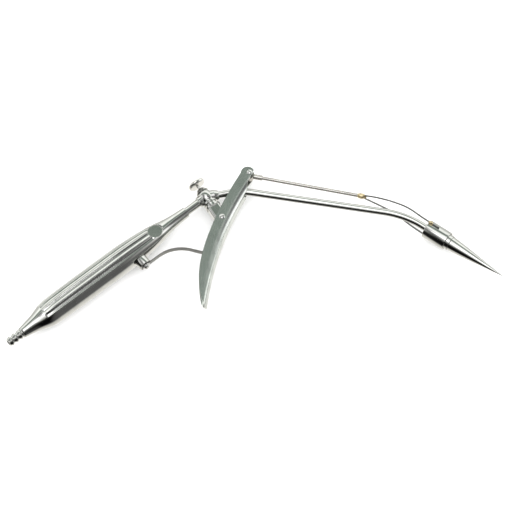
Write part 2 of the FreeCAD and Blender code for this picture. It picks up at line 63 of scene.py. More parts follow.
# The instrument is laid out along a few axes in its plane of symmetry, so these hold for every piece.
# Lengths in the dictionaries are millimetres, angles are degrees.
layout = {
    "pivotFromValve": (11.41, -17.91),
    "crestMiddle": 6.2,          # from the hose end to the middle of the barbs
    "neckAngle": 12.5,
    "neckReach": 24.16,
    "neckBend": 49.0,
    "shaftAngle": -9.3,
    "shaftReach": 118.0,
    "tipBend": 65.0,
    "rodPinFromPivot": (19.3, 35.0),
    "rodAngle": -11.5,
    "bossStation": 111.0,
}


def heading(angle):
    return Vector((math.cos(math.radians(angle)), math.sin(math.radians(angle)), 0))


def leftOf(way):
    return up.cross(way)


def ahead(start, way, distance, side=0.0, height=0.0):
    # the point so many millimetres along a way, to its left and upwards
    return start + (way * distance + leftOf(way) * side + up * height) * mm


pivot = Vector(joints["lever_hinge"]["pos_m"])
drumWay = Vector(joints["pusher_slide"]["axis"])
pressWay = Vector(joints["valve_press"]["axis"])
handleWay = -Vector(mounts["hose_nozzle"]["axis"])
neckWay, shaftWay, rodWay = [heading(layout[name]) for name in ("neckAngle", "shaftAngle", "rodAngle")]
valveCentre = pivot - Vector((*layout["pivotFromValve"], 0)) * mm
hoseEnd = ahead(Vector(mounts["hose_nozzle"]["pos_m"]), handleWay, -layout["crestMiddle"])
neckCorner = ahead(valveCentre, neckWay, layout["neckReach"])
tipCorner = ahead(neckCorner, shaftWay, layout["shaftReach"])
rodPin = pivot + Vector((*layout["rodPinFromPivot"], 0)) * mm
bossFoot = ahead(hoseEnd, handleWay, layout["bossStation"])
bossWay = -leftOf(handleWay)


class Value:
    # a shader socket that can be written in sums
    def __init__(self, finish, socket):
        self.finish, self.socket = finish, socket

    def sum(self, operation, first, second):
        return self.finish.node("ShaderNodeMath", {"operation": operation}, {0: first, 1: second})

    def __add__(self, other):
        return self.sum("ADD", self, other)

    def __sub__(self, other):
        return self.sum("SUBTRACT", self, other)

    def __rsub__(self, other):
        return self.sum("SUBTRACT", other, self)

    def __mul__(self, other):
        return self.sum("MULTIPLY", self, other)

    __radd__ = __add__
    __rmul__ = __mul__


class Graph:
    # a node tree being filled
    def __init__(self, tree):
        self.tree = tree

    def node(self, kind, settings=None, inputs=None, output=0):
        made = self.tree.nodes.new(kind)
        for name, setting in (settings or {}).items():
            if name == "stops":
                self.setStops(made.color_ramp, setting)
            else:
                setattr(made, name, setting)
        for name, given in (inputs or {}).items():
            self.feed(made.inputs[name], given)
        return Value(self, made.outputs[output])

    def feed(self, socket, given):
        if isinstance(given, Value):
            self.tree.links.new(given.socket, socket)
        else:
            socket.default_value = given

    def setStops(self, ramp, stops):
        while len(ramp.elements) < len(stops):
            ramp.elements.new(1.0)
        for element, (place, *shade) in zip(ramp.elements, stops):
            element.position = place
            element.color = (*(shade * 3)[:3], 1)    # one number makes a grey

    def ramp(self, value, *stops):
        return self.node("ShaderNodeValToRGB", {"stops": stops}, {"Fac": value})

    def mix(self, blend, factor, first, second):
        return self.node("ShaderNodeMix", {"data_type": "RGBA", "blend_type": blend},
                         {0: factor, 6: first, 7: second}, output=2)


class Finish(Graph):
    # one material being made, with its Principled shader ready
    def __init__(self, name):
        self.material = bpy.data.materials.new(name)
        self.material.use_nodes = True
        super().__init__(self.material.node_tree)
        self.shader = self.tree.nodes["Principled BSDF"]

    def place(self, angle=0.0, stretch=(1, 1, 1)):
        # millimetres along, across and up from the frame's origin, turned to a heading and stretched
        where = self.node("ShaderNodeTexCoord", output="Object")
        turned = self.node("ShaderNodeVectorRotate", {"rotation_type": "Z_AXIS"},
                           {"Vector": where, "Angle": -math.radians(angle)})
        return self.node("ShaderNodeVectorMath", {"operation": "MULTIPLY"},
                         {0: turned, 1: [1000 * factor for factor in stretch]})

    def noise(self, where, scale, detail=3.0, rough=0.5):
        return self.node("ShaderNodeTexNoise", {"noise_dimensions": "3D"},
                         {"Vector": where, "Scale": scale, "Detail": detail, "Roughness": rough})

    def tint(self, factor, first, second):
        return self.mix("MIX", factor, (*first, 1), (*second, 1))

    def relief(self, height, strength, depth):
        # bumps so many millimetres deep
        return self.node("ShaderNodeBump", None,
                         {"Height": height, "Strength": strength, "Distance": depth * mm})

    def done(self, **inputs):
        for name, given in inputs.items():
            self.feed(self.shader.inputs[name.replace("_", " ")], given)
        return self.material


def steel(name, angle, tone, worn, rough, scratchRough=0.10, bump=0.008, brushed=0.0):
    # bare steel: cloudy polish, hairline scratches along the piece, dull specks and handling smears
    finish = Finish(name)
    plain = finish.place()
    clouds = finish.noise(plain, 0.09, 4)
    smears = finish.ramp(finish.noise(finish.place(angle + 35, (0.5, 1.4, 1)), 0.16, 5, 0.62),
                         (0.46, 0), (0.72, 1))
    hairs = finish.ramp(finish.noise(finish.place(angle, (0.09, 3.2, 3.2)), 1.6, 2), (0.60, 0), (0.74, 1))
    strays = finish.ramp(finish.noise(finish.place(angle + 62, (0.05, 2.6, 2.6)), 1.3, 2),
                         (0.67, 0), (0.76, 1))
    specks = finish.ramp(finish.noise(plain, 2.4, 2), (0.70, 0), (0.78, 1))
    grain = finish.noise(finish.place(angle, (0.05, 6, 6)), 2.2, 2)
    marks = hairs + strays * 0.6 + specks * 0.5
    colour = finish.tint(finish.ramp(clouds + smears * 0.35, (0.3, 0), (1.0, 1)), tone, worn)
    roughness = rough + smears * 0.05 + marks * scratchRough + grain * brushed + clouds * 0.03
    height = clouds * 0.4 - marks * 0.5 + grain * brushed * 3
    return finish.done(Base_Color=colour, Roughness=roughness, Metallic=1.0,
                       Normal=finish.relief(height, 0.25, bump))


def braze(name):
    # braze metal: pale gold, rippled where it froze, with grey flux left in the hollows
    finish = Finish(name)
    ripples = finish.noise(finish.place(), 1.1, 5, 0.6)
    flux = finish.ramp(finish.noise(finish.place(), 0.7, 4), (0.5, 0), (0.68, 1))
    colour = finish.tint(flux, (0.80, 0.66, 0.40), (0.42, 0.37, 0.28))
    return finish.done(Base_Color=colour, Roughness=0.24 + flux * 0.22 + ripples * 0.08, Metallic=1.0,
                       Normal=finish.relief(ripples, 0.6, 0.25))


def sealRubber(name):
    # black nitrile: mould bloom and a fine leathery skin
    finish = Finish(name)
    bloom = finish.ramp(finish.noise(finish.place(), 0.9, 4), (0.45, 0), (0.75, 1))
    skin = finish.noise(finish.place(), 9, 3)
    return finish.done(Base_Color=finish.tint(bloom, (0.018, 0.018, 0.02), (0.07, 0.07, 0.072)),
                       Roughness=0.45 + bloom * 0.2, Normal=finish.relief(skin, 0.4, 0.04))


handleAngle = math.degrees(math.atan2(handleWay.y, handleWay.x))
leverAngle = 72.0
drumAngle = math.degrees(math.atan2(drumWay.y, drumWay.x))
pressAngle = math.degrees(math.atan2(pressWay.y, pressWay.x))
bright, dulled = (0.66, 0.66, 0.64), (0.52, 0.525, 0.51)
finishes = {
    "handle": steel("handle_polish", handleAngle, bright, dulled, 0.07),
    "shaft": steel("shaft_polish", layout["shaftAngle"], bright, dulled, 0.08),
    "lever": steel("lever_polish", leverAngle, (0.66, 0.68, 0.66), (0.52, 0.54, 0.52), 0.12, brushed=0.05),
    "drum": steel("drum_polish", drumAngle, bright, dulled, 0.08),
    "valve": steel("valve_polish", pressAngle, bright, dulled, 0.08),
    "knob": steel("knob_polish", pressAngle, (0.80, 0.79, 0.77), (0.66, 0.65, 0.63), 0.13),
    "screw": steel("screw_steel", 30, (0.78, 0.78, 0.77), (0.58, 0.58, 0.57), 0.16, brushed=0.08),
    "rod": steel("drawn_rod", layout["rodAngle"], (0.60, 0.58, 0.55), (0.44, 0.42, 0.40), 0.14,
                 brushed=0.1),
    "wire": steel("drawn_wire", -30, (0.26, 0.26, 0.25), (0.18, 0.18, 0.17), 0.22, brushed=0.1),
    "spring": steel("spring_steel", handleAngle, (0.26, 0.26, 0.25), (0.18, 0.18, 0.175), 0.26,
                    brushed=0.14),
    "coil": steel("coil_wire", pressAngle, (0.56, 0.56, 0.55), (0.42, 0.42, 0.41), 0.25),
    "braze": braze("braze_gold"),
    "rubber": sealRubber("seal_rubber"),
}
finishOf = {
    "handle": ["hose_nozzle", "handle_shell", "tail_plug", "suction_tube", "spring_boss"],
    "shaft": ["shaft_ferrule", "shaft_tube"],
    "lever": ["finger_lever"],
    "drum": ["pusher_sleeve", "drum_barrel", "drum_base", "loading_cone"],
    "valve": ["valve_body", "valve_gland", "valve_piston", "pivot_lug"],
    "knob": ["valve_button"],
    "screw": ["spring_washer", "spring_screw", "pivot_screw", "rod_screw"],
    "rod": ["push_rod", "rod_eye"],
    "wire": ["fork_wire_near", "fork_wire_far"],
    "spring": ["return_spring"],
    "coil": ["valve_spring"],
    "braze": ["fork_knuckle", "braze_pads"],
    "rubber": ["stem_packing", "piston_seal"],
}
for finishName, members in finishOf.items():
    for nodeName in members:
        nodes[nodeName].data.materials.clear()
        nodes[nodeName].data.materials.append(finishes[finishName])
print("finishes made:", len(finishes))


bodyOf = {name: body for body, members in frame["record"]["behaviour"]["bodies"].items()
          for name in members}
finishFor = {name: key for key, members in finishOf.items() for name in members}


def bench(start, way):
    # a frame with x along the piece's axis, y to its left and z up, in millimetres
    side = leftOf(way)
    return Matrix(((way.x, side.x, 0, start.x), (way.y, side.y, 0, start.y), (0, 0, 1, start.z),
                   (0, 0, 0, 1))) @ Matrix.Scale(mm, 4)


def newObject(name, points, faces):
    mesh = bpy.data.meshes.new(name)
    mesh.from_pydata([tuple(point) for point in points], [], faces)
    work = bmesh.new()
    work.from_mesh(mesh)
    bmesh.ops.remove_doubles(work, verts=work.verts, dist=0.002 * mm)
    bmesh.ops.recalc_face_normals(work, faces=work.faces)
    for face in work.faces:
        face.smooth = True
    work.to_mesh(mesh)
    work.free()
    made = bpy.data.objects.new(name, mesh)
    bpy.context.scene.collection.objects.link(made)
    return made


def eased(outline, ease, steps=4, most=0.45, flat=14):
    # the outline with each corner sharper than flat rounded over, using no more than most of its sides
    points = [Vector(point) for point in outline]
    closed = points[0].y > 0
    count = len(points)
    result = []
    for number, corner in enumerate(points):
        before = points[number - 1] if closed or number else None
        after = points[(number + 1) % count] if closed or number < count - 1 else None
        if before is None or after is None:
            result.append(corner)
            continue
        back, front = before - corner, after - corner
        if math.pi - back.angle(front) < math.radians(flat):
            result.append(corner)
            continue
        first = corner + back.normalized() * min(ease, most * back.length)
        last = corner + front.normalized() * min(ease, most * front.length)
        for step in range(steps + 1):
            share = step / steps
            result.append(first * (1 - share) ** 2 + corner * 2 * share * (1 - share) + last * share ** 2)
    return result


def lathe(name, outline, start, way, ease=0.15, steps=96):
    # a turned piece from its outline of (station, radius)
    ringPoints = eased(outline, ease)
    place = bench(start, way)
    points, rings, faces = [], [], []
    for point in ringPoints:
        if point.y < 1e-6:
            rings.append([len(points)] * steps)
            points.append(place @ Vector((point.x, 0, 0)))
            continue
        rings.append([len(points) + step for step in range(steps)])
        for step in range(steps):
            turn = 2 * math.pi * step / steps
            points.append(place @ Vector((point.x, point.y * math.cos(turn), point.y * math.sin(turn))))
    pairs = list(zip(rings, rings[1:]))
    if ringPoints[0].y > 0:
        pairs.append((rings[-1], rings[0]))
    for one, two in pairs:
        for step in range(steps):
            after = (step + 1) % steps
            corners = list(dict.fromkeys((one[step], one[after], two[after], two[step])))
            if len(corners) > 2:
                faces.append(corners)
    return newObject(name, points, faces)


def circle(radius, steps=24):
    return [(radius * math.cos(2 * math.pi * step / steps), radius * math.sin(2 * math.pi * step / steps))
            for step in range(steps)]


def bent(corners, radii):
    # points along straight runs joined by tangent arcs, close together on the arcs
    line = [corners[0]]
    for before, corner, after, radius in zip(corners, corners[1:], corners[2:], radii):
        back, front = (before - corner).normalized(), (after - corner).normalized()
        half = (math.pi - back.angle(front)) / 2
        centre = corner + (back + front).normalized() * (radius * mm / math.cos(half))
        arm = corner + back * (radius * mm * math.tan(half)) - centre
        axis = front.cross(back).normalized()
        count = max(4, round(math.degrees(2 * half) / 1.5))
        for step in range(count + 1):
            line.append(centre + Matrix.Rotation(2 * half * step / count, 3, axis) @ arm)
    return line + [corners[-1]]


def spreadOut(line, gap):
    # the same line with points added along its long straight runs
    result = [line[0]]
    for one, two in zip(line, line[1:]):
        count = max(1, math.ceil((two - one).length / (gap * mm)))
        result += [one.lerp(two, (step + 1) / count) for step in range(count)]
    return result


def ringFaces(rings, count, closed=False):
    # quads between neighbouring rings of points, and from the last to the first if closed
    faces = []
    for ring in range(rings if closed else rings - 1):
        onward = (ring + 1) % rings
        for step in range(count):
            after = (step + 1) % count
            faces.append((ring * count + step, ring * count + after,
                          onward * count + after, onward * count + step))
    return faces


def endCaps(rings, count):
    return [tuple(range(count)), tuple((rings - 1) * count + step for step in range(count))]


def sweep(name, line, section):
    # a section of (side, height) points carried along a line, closed at both ends
    points = []
    way = (line[1] - line[0]).normalized()
    side = leftOf(way).normalized()
    for number, spot in enumerate(line):
        nearby = line[min(number + 1, len(line) - 1)] - line[max(number - 1, 0)]
        turn = way.rotation_difference(nearby.normalized())
        way, side = nearby.normalized(), turn @ side
        side = (side - way * side.dot(way)).normalized()
        lift = way.cross(side)
        points += [spot + (side * across + lift * high) * mm for across, high in section]
    rings, count = len(line), len(section)
    return newObject(name, points, ringFaces(rings, count) + endCaps(rings, count))


def prism(name, outline, low, high, start, way):
    # a flat outline of (along, side) points raised between two heights
    place = bench(start, way)
    count = len(outline)
    points = [place @ Vector((x, y, z)) for z in (low, high) for x, y in outline]
    faces = [tuple(range(count)), tuple(range(count, 2 * count))]
    faces += [(step, (step + 1) % count, count + (step + 1) % count, count + step) for step in range(count)]
    return newObject(name, points, faces)


def carve(piece, tool, operation="DIFFERENCE"):
    # cuts, joins or trims a piece with another, which is used up
    cut = piece.modifiers.new("carve", "BOOLEAN")
    cut.operation, cut.object, cut.solver = operation, tool, "EXACT"
    fresh = bpy.data.meshes.new_from_object(piece.evaluated_get(bpy.context.evaluated_depsgraph_get()))
    piece.modifiers.clear()
    piece.data = fresh
    bpy.data.objects.remove(tool)


def breakEdges(piece, width, angle=35, segments=2):
    # a hairline radius on every sharp edge
    edges = piece.modifiers.new("edge_break", "BEVEL")
    edges.width, edges.segments, edges.angle_limit = width * mm, segments, math.radians(angle)
    edges.limit_method = "ANGLE"
    normals = piece.modifiers.new("face_weights", "WEIGHTED_NORMAL")
    normals.keep_sharp = True
    return piece


def fit(piece, *stoodFor):
    # the piece takes over its CAD nodes' body and finish, and the nodes are hidden
    first = stoodFor[0]
    piece.data.materials.clear()
    piece.data.materials.append(finishes[finishFor[first]])
    for face in piece.data.polygons:
        face.use_smooth = True
    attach(piece, bodyOf[first])
    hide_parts(*stoodFor)


def splineThrough(points, count):
    # a natural cubic through the points, spaced by chord length
    spots = np.array(points, float)
    knots = np.concatenate([[0], np.cumsum(np.linalg.norm(np.diff(spots, axis=0), axis=1))])
    gaps = np.diff(knots)
    slopes = np.diff(spots, axis=0) / gaps[:, None]
    size = len(knots)
    system, right = np.eye(size), np.zeros((size, 2))
    for row in range(1, size - 1):
        system[row, row - 1:row + 2] = gaps[row - 1], 2 * (gaps[row - 1] + gaps[row]), gaps[row]
        right[row] = 6 * (slopes[row] - slopes[row - 1])
    bends = np.linalg.solve(system, right)
    result = []
    for value in np.linspace(0, knots[-1], count):
        row = min(np.searchsorted(knots, value, side="right") - 1, size - 2)
        one, two, gap = knots[row + 1] - value, value - knots[row], gaps[row]
        result.append((bends[row] * one ** 3 + bends[row + 1] * two ** 3) / (6 * gap)
                      + (spots[row] / gap - bends[row] * gap / 6) * one
                      + (spots[row + 1] / gap - bends[row + 1] * gap / 6) * two)
    return np.array(result)


nozzle = {
    "barbs": 3,
    "pitch": 3.8,
    "rise": 2.0,
    "land": 0.8,
    "rootRadius": 2.7,
    "crestRadius": 3.5,
    "lead": 0.3,                 # plain root before each barb's rise
    "collarStart": 11.2,
    "collarEnd": 12.0,
    "collarRadius": 3.7,
    "end": 20.0,
    "spigotRadius": 2.55,
    "boreRadius": 1.7,
}
shell = {
    "outline": [(12.0, 3.9), (17.7, 4.9), (20.8, 5.5), (25.5, 6.6), (29.7, 8.0), (34.4, 9.2),
                (41.6, 9.7), (62.5, 9.9), (83.0, 9.9), (104.1, 9.7), (114.5, 9.1), (124.9, 8.2),
                (133.2, 7.1), (140.5, 5.6), (147.8, 4.6), (158.8, 3.85)],
    "fluteTurns": (-48.0, -24.0, 0.0, 24.0),
    "fluteRadius": 2.6,
    "fluteLift": 2.0,            # cutter axis above the shell
    "fluteStart": 32.5,
    "fluteEnd": 125.6,
    "fluteEdge": 0.3,
    "dishStation": 131.0,
    "dishLength": 11.0,
    "dishWidth": 9.8,
    "dishFloor": 5.7,
    "dishTilt": 7.0,
    "dishCup": 0.05,             # the floor's hollow
    "dishWall": 4.0,
    "dishEdge": 0.12,
    "boreRadius": 2.95,
    "rimWidth": 0.12,
    "ringGap": 0.9,              # between the mesh's rings on the plain stretches
    "fineGap": 0.22,             # and round the dish and the flutes' ends
    "leastGap": 0.06,
    "fineReach": 2.4,
    "fluteTaper": 0.7,
    "dishMargin": 1.1,
    "fluteFan": 62.0,            # half the angle that the close columns cover
    "columns": 210,              # round each fluted face
    "sideColumns": 20,
}
tube = {"start": 20.0, "end": 173.6, "radius": 2.9, "bore": 2.2}


def softLess(one, two, edge):
    # the lesser of two heights, with the corner between them rounded
    share = np.clip(0.5 + 0.5 * (two - one) / edge, 0, 1)
    return two * (1 - share) + one * share - edge * share * (1 - share)


def fluteReach(stations, offsets, axis):
    # how far out the metal is left under one milled flute, whose cutter runs along the given axis
    past = np.maximum(0, np.maximum(shell["fluteStart"] - stations, stations - shell["fluteEnd"]))
    section = np.maximum(shell["fluteRadius"] ** 2 - past ** 2, 0)
    under = section - (axis * np.sin(offsets)) ** 2
    reach = axis * np.cos(offsets) - np.sqrt(np.maximum(under, 0))
    return np.where((under > 0) & (np.cos(offsets) > 0), reach, 99.0)


def makeHandleShell():
    curve = splineThrough(shell["outline"], 800)
    first, last = shell["outline"][0][0], shell["outline"][-1][0]
    zones = [(shell["fluteStart"] - shell["fluteTaper"], shell["fineReach"]),
             (shell["fluteEnd"] + shell["fluteTaper"], shell["fineReach"]),
             (shell["dishStation"], shell["dishLength"] / 2 + shell["dishMargin"])]
    fine = [np.arange(middle - reach, middle + reach, shell["fineGap"]) for middle, reach in zones]
    stations = np.concatenate([np.arange(first, last, shell["ringGap"]), [last], *fine])
    stations = np.unique(np.round(stations, 2))
    stations = stations[np.concatenate([[True], np.diff(stations) > shell["leastGap"]])]
    stations[-1] = last
    body = np.interp(stations, curve[:, 0], curve[:, 1])
    fan = math.radians(shell["fluteFan"])
    dense = np.linspace(-fan, fan, shell["columns"], endpoint=False)
    sparse = np.linspace(fan, math.pi - fan, shell["sideColumns"], endpoint=False)
    turns = np.concatenate([dense, sparse, dense + math.pi, sparse + math.pi])
    along, around = np.meshgrid(stations, turns, indexing="ij")
    radius = np.repeat(body[:, None], len(turns), axis=1)
    cutter = radius + shell["fluteLift"]
    for face, mirror in ((0, 1), (180, -1)):
        for turn in shell["fluteTurns"]:
            centre = math.radians(face - turn * mirror)
            radius = softLess(radius, fluteReach(along, around - centre, cutter), shell["fluteEdge"])
    x, y, z = along, radius * np.sin(around), radius * np.cos(around)
    x, z = sinkDish(x, y, z)
    rim, bore = shell["rimWidth"], shell["boreRadius"]
    rings = [list(ring) for ring in np.stack([x, y, z], axis=2)]
    for station, level in ((last, body[-1] - rim), (last, bore), (first, bore), (first, body[0] - rim)):
        rings.append([(station, level * math.sin(turn), level * math.cos(turn)) for turn in turns])
    place = bench(hoseEnd, handleWay)
    points = [place @ Vector(point) for ring in rings for point in ring]
    return newObject("handle_shell_polished", points, ringFaces(len(rings), len(turns), closed=True))


def sinkDish(x, y, z):
    # presses the oval thumb dish into the shoulder, square to its own leaning floor
    lean = math.radians(shell["dishTilt"])
    along = (x - shell["dishStation"]) * math.cos(lean) - (z - shell["dishFloor"]) * math.sin(lean)
    height = (x - shell["dishStation"]) * math.sin(lean) + (z - shell["dishFloor"]) * math.cos(lean)
    out = np.sqrt((along / (shell["dishLength"] / 2)) ** 2 + (y / (shell["dishWidth"] / 2)) ** 2)
    cup = np.maximum(0, out - 1) * shell["dishWidth"] / 2 * shell["dishWall"]
    cup += shell["dishCup"] * np.minimum(out, 1.0) ** 2
    lowered = np.where((z > 0) & (out < 2), softLess(height, cup, shell["dishEdge"]), height)
    drop = np.minimum(lowered - height, 0)
    return x + drop * math.sin(lean), z + drop * math.cos(lean)


def makeNozzle():
    outline = [(0, nozzle["boreRadius"]), (0, nozzle["rootRadius"])]
    for barb in range(nozzle["barbs"]):
        crest = barb * nozzle["pitch"] + nozzle["rise"]
        outline += [(barb * nozzle["pitch"] + nozzle["lead"], nozzle["rootRadius"]),
                    (crest, nozzle["crestRadius"]),
                    (crest + nozzle["land"], nozzle["crestRadius"]),
                    (crest + nozzle["land"], nozzle["rootRadius"])]
    outline += [(nozzle["collarStart"], nozzle["rootRadius"]),
                (nozzle["collarStart"], nozzle["collarRadius"]),
                (nozzle["collarEnd"], nozzle["collarRadius"]),
                (nozzle["collarEnd"], nozzle["spigotRadius"]),
                (nozzle["end"], nozzle["spigotRadius"]), (nozzle["end"], nozzle["boreRadius"])]
    return lathe("hose_nozzle_turned", outline, hoseEnd, handleWay, ease=0.12)


def pipeOutline(radius, bore, start, end):
    return [(start, bore), (start, radius), (end, radius), (end, bore)]


fit(makeNozzle(), "hose_nozzle")
fit(makeHandleShell(), "handle_shell")
fit(lathe("suction_tube_drawn", pipeOutline(tube["radius"], tube["bore"], tube["start"], tube["end"]),
          hoseEnd, handleWay), "suction_tube")
print("handle made")


clamp = {
    "bossRadius": 4.7,
    "bossFoot": 8.6,
    "bossHeight": 14.2,
    "leaf": 0.6,
    "leafWidth": 4.4,
    "tail": 3.4,
    "flat": 11.5,
    "bend": 25.0,
    "endAngle": -15.0,
    "reach": 18.2,
    "leafEdge": 0.18,
    "washerRadius": 2.9,
    "washer": 0.5,
    "shankRadius": 1.2,
    "shankLength": 5.2,
    "headRadius": 2.2,
    "headHeight": 1.7,
    "slotWidth": 0.7,
    "slotDepth": 0.7,
    "slotTurn": 25,
    "domeSteps": 12,
}


def makeScrew(name, radius, height, shankRadius, shankLength, base, way, slotTurn):
    # a low domed screw with a driver slot, its head standing on base
    dome = (radius ** 2 + height ** 2) / (2 * height)
    outline = [(-shankLength, 0), (-shankLength, shankRadius), (0, shankRadius), (0, radius)]
    for step in range(1, clamp["domeSteps"] + 1):
        lift = height * step / clamp["domeSteps"]
        outline.append((lift, math.sqrt(max(dome ** 2 - (dome - height + lift) ** 2, 0))))
    screw = lathe(name, outline, Vector((0, 0, 0)), Vector((1, 0, 0)), ease=0.08, steps=64)
    half = clamp["slotWidth"] / 2
    slot = prism("slot", [(height - clamp["slotDepth"], -half), (3 * height, -half), (3 * height, half),
                          (height - clamp["slotDepth"], half)], -2 * radius, 2 * radius,
                 Vector((0, 0, 0)), Vector((1, 0, 0)))
    carve(screw, slot)
    turn = Matrix.Rotation(math.radians(slotTurn), 4, "X")
    stand = Matrix.Translation(base) @ way.to_track_quat("X", "Z").to_matrix().to_4x4()
    screw.data.transform(stand @ turn)
    return breakEdges(screw, 0.06, 40)


def makeLeaf():
    start = ahead(bossFoot, bossWay, clamp["bossHeight"] + clamp["leaf"] / 2)
    begin = ahead(start, handleWay, -clamp["tail"])
    endWay = heading(clamp["endAngle"])
    half = (handleWay.angle(endWay)) / 2
    corner = ahead(start, handleWay, clamp["flat"] + clamp["bend"] * math.tan(half))
    finish = ahead(corner, endWay, clamp["bend"] * math.tan(half) + clamp["reach"])
    line = spreadOut(bent([begin, corner, finish], [clamp["bend"]]), 0.8)
    thick, wide = clamp["leaf"] / 2, clamp["leafWidth"] / 2
    edge = clamp["leafEdge"]
    section = []
    for across, high, turn in ((thick, wide, 0), (-thick, wide, 90),
                               (-thick, -wide, 180), (thick, -wide, 270)):
        inner = (math.copysign(thick - edge, across), math.copysign(wide - edge, high))
        for step in range(4):
            angle = math.radians(turn + 30 * step)
            section.append((inner[0] + edge * math.cos(angle), inner[1] + edge * math.sin(angle)))
    leaf = sweep("return_spring_leaf", line, section)
    breakEdges(leaf, 0.02, 60, 1)
    leaf.data.materials.append(finishes["spring"])
    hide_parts("return_spring")
    ahead(start, handleWay, clamp["flat"] * 0.4)
    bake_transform(leaf)


def makeClamp():
    boss = lathe("spring_boss_turned", [(clamp["bossFoot"], 0), (clamp["bossFoot"], clamp["bossRadius"]),
                 (clamp["bossHeight"], clamp["bossRadius"]), (clamp["bossHeight"], 0)],
                 bossFoot, bossWay, ease=0.3)
    fit(boss, "spring_boss")
    base = clamp["bossHeight"] + clamp["leaf"]
    washer = lathe("spring_washer_flat", pipeOutline(clamp["washerRadius"], clamp["shankRadius"], base,
                                                     base + clamp["washer"]), bossFoot, bossWay, ease=0.12)
    fit(washer, "spring_washer")
    head = ahead(bossFoot, bossWay, base + clamp["washer"])
    screw = makeScrew("spring_screw_slotted", clamp["headRadius"], clamp["headHeight"],
                      clamp["shankRadius"], clamp["shankLength"], head, bossWay, clamp["slotTurn"])
    fit(screw, "spring_screw")


makeLeaf()
makeClamp()
print("return spring made")


valve = {
    "top": -4.6,
    "foot": 8.2,
    "radius": 5.25,
    "bulb": [(-4.6, 3.7), (-3.2, 4.75), (-0.6, 5.3), (2.2, 4.95), (4.0, 4.2)],
    "collar": 4.6,
    "collarWidth": 1.7,
    "footRadius": 4.4,
    "rearRadius": 3.9,
    "rearReach": 6.8,
    "frontRadius": 4.4,
    "frontReach": 5.8,
    "ferruleEnd": 9.0,
    "ferruleTip": 3.3,
    "ferruleBore": 2.6,
    "glandTop": -7.4,
    "discTop": -13.7,
    "discUnder": -10.6,
    "discRadius": 6.3,
    "dimple": [(0.4, 0), (0.35, 2.4), (0, 3.4)],
    "discFillet": 0.5,
    "stemRadius": 1.1,
    "stemEnd": -1.5,
    "stemThread": 0.85,
    "stemThreadEnd": 0.95,
    "coilRadius": 2.3,
    "coilWire": 0.22,
    "coilStart": 1.97,
    "coilEnd": 5.73,
    "coilPitch": 1.0,
    "coilSteps": 24,             # points to a turn
}
gland = {
    "bore": 1.15,
    "noseRadius": 2.7,
    "bevel": 0.3,
    "bevelRadius": 3.0,
    "skirtRadius": 4.8,
    "threadRadius": 3.55,
    "threadReach": 1.9,
    "packingRadius": 2.15,
    "packingTop": -5.6,
}


def makeValveBody():
    # solid inside: the bores that hold the stem, piston and spring are left out
    bulb = [tuple(point) for point in splineThrough(valve["bulb"], 28)]
    collar, foot, radius = valve["collar"], valve["foot"], valve["radius"]
    outline = [(valve["top"], 0), *bulb, (collar, bulb[-1][1]), (collar, radius),
               (collar + valve["collarWidth"], radius),
               (collar + valve["collarWidth"], valve["footRadius"]),
               (foot, valve["footRadius"]), (foot, 0)]
    body = lathe("valve_body_polished", outline, valveCentre, pressWay, ease=0.3)
    rear = lathe("rear", [(-valve["rearReach"], 0), (-valve["rearReach"], valve["rearRadius"]),
                          (0, valve["rearRadius"]), (0, 0)], valveCentre, handleWay, ease=0.5)
    front = lathe("front", [(0, 0), (0, valve["frontRadius"]), (valve["frontReach"], valve["frontRadius"]),
                            (valve["frontReach"], 0)], valveCentre, neckWay, ease=0.1)
    carve(body, rear, "UNION")
    carve(body, front, "UNION")
    return breakEdges(body, 0.25, 30, 3)


def makeButton():
    middle, half = (valve["discTop"] + valve["discUnder"]) / 2, (valve["discUnder"] - valve["discTop"]) / 2
    rim = [(middle - half * math.cos(math.radians(turn)),
            valve["discRadius"] - half + half * math.sin(math.radians(turn))) for turn in range(0, 181, 15)]
    dimple = [(valve["discTop"] + depth, radius) for depth, radius in valve["dimple"]]
    fillet = valve["discFillet"]
    outline = [*dimple, *rim, (valve["discUnder"], valve["stemRadius"] + fillet),
               (valve["discUnder"] + fillet, valve["stemRadius"]), (valve["stemEnd"], valve["stemRadius"]),
               (valve["stemEnd"], valve["stemThread"]), (valve["stemThreadEnd"], valve["stemThread"]),
               (valve["stemThreadEnd"], 0)]
    return lathe("valve_button_turned", outline, valveCentre, pressWay, ease=0.12)


def makeGland():
    top, nose, thread = valve["top"], valve["glandTop"], valve["top"] + gland["threadReach"]
    outline = [(nose, gland["bore"]), (nose, gland["noseRadius"]),
               (nose + gland["bevel"], gland["bevelRadius"]),
               (top, gland["skirtRadius"]), (top, gland["threadRadius"]), (thread, gland["threadRadius"]),
               (thread, gland["packingRadius"]), (gland["packingTop"], gland["packingRadius"]),
               (gland["packingTop"], gland["bore"])]
    return lathe("valve_gland_turned", outline, valveCentre, pressWay, ease=0.25)


